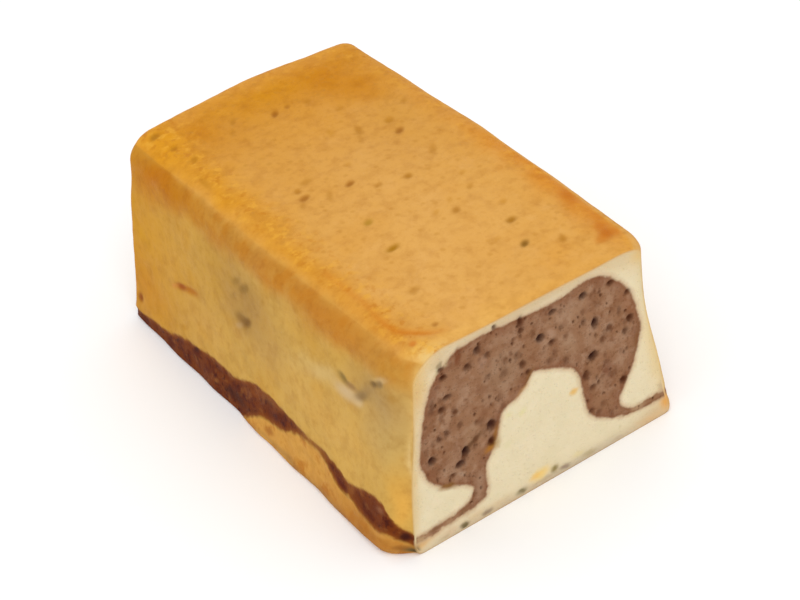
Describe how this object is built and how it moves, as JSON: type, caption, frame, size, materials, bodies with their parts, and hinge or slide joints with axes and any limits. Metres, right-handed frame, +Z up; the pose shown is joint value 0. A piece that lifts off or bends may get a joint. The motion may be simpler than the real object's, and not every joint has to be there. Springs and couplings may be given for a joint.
{
  "type": "marble cake",
  "caption": "Half of a marble loaf cake, knife cut at one end to show a cocoa arch in pale crumb, with smooth golden crust on top, flared sides and a thin crust lip round its foot.",
  "frame": {"origin": "middle of the footprint's bounding box, on the surface the cake stands on", "axes": "+Z up; +Y along the loaf, from the knife cut to the baked far end; +X to the right when facing the cut"},
  "size_m": [0.0948, 0.14, 0.0611],
  "materials": {
    "baked_crust": null,
    "cut_crumb": null
  },
  "bodies": {
    "root": {"marble_cake": "baked_crust"}
  },
  "joints": []
}
